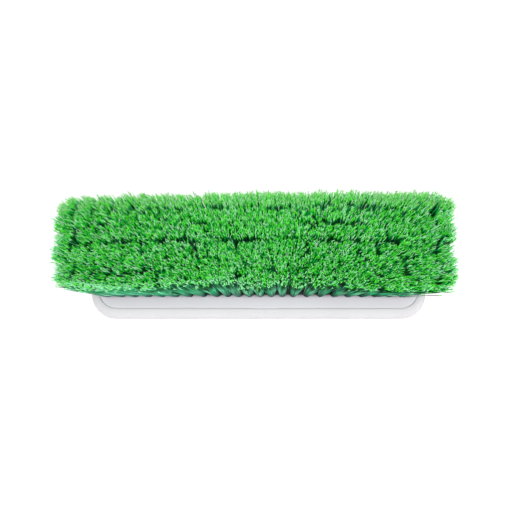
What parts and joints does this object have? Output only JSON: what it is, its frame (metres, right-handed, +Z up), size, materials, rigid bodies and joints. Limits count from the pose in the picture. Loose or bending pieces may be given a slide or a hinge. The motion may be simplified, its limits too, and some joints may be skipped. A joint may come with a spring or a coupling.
{
  "type": "car wash brush head",
  "caption": "Rectangular flow-through wash brush head with splayed bristle tufts, a soft edge bumper and a slanted threaded pole socket in its hollow back.",
  "frame": {"origin": "on the flat back that the head rests on, under the middle of the block", "axes": "+X along the block's long side, +Y towards the side that the pole socket opens to, +Z up from the back to the bristle tips"},
  "size_m": [0.2906, 0.0793, 0.1135],
  "materials": {
    "block_plastic": "satin white moulded plastic",
    "bumper_rubber": "soft matt white rubber",
    "bristle_green": "green synthetic filament with flagged pale tips",
    "seal_rubber": "matt black rubber",
    "insert_brass": "turned brass",
    "screw_steel": "stainless steel"
  },
  "bodies": {
    "root": {"tuft_plate": "block_plastic", "back_cover": "block_plastic", "bumper": "bumper_rubber", "cover_gasket": "seal_rubber", "handle_insert": "insert_brass", "inlet_washer": "seal_rubber", "cover_screw_1": "screw_steel", "cover_screw_2": "screw_steel", "cover_screw_3": "screw_steel", "cover_screw_4": "screw_steel", "cover_screw_5": "screw_steel", "cover_screw_6": "screw_steel", "cover_screw_7": "screw_steel", "cover_screw_8": "screw_steel", "bristle_row_1_section_1": "bristle_green", "bristle_row_1_section_2": "bristle_green", "bristle_row_1_section_3": "bristle_green", "bristle_row_1_section_4": "bristle_green", "bristle_row_2_section_1": "bristle_green", "bristle_row_2_section_2": "bristle_green", "bristle_row_2_section_3": "bristle_green", "bristle_row_2_section_4": "bristle_green", "bristle_row_3_section_1": "bristle_green", "bristle_row_3_section_2": "bristle_green", "bristle_row_3_section_3": "bristle_green", "bristle_row_3_section_4": "bristle_green", "bristle_row_4_section_1": "bristle_green", "bristle_row_4_section_2": "bristle_green", "bristle_row_4_section_3": "bristle_green", "bristle_row_4_section_4": "bristle_green", "bristle_row_5_section_1": "bristle_green", "bristle_row_5_section_2": "bristle_green", "bristle_row_5_section_3": "bristle_green", "bristle_row_5_section_4": "bristle_green", "bristle_row_6_section_1": "bristle_green", "bristle_row_6_section_2": "bristle_green", "bristle_row_6_section_3": "bristle_green", "bristle_row_6_section_4": "bristle_green"}
  },
  "joints": []
}
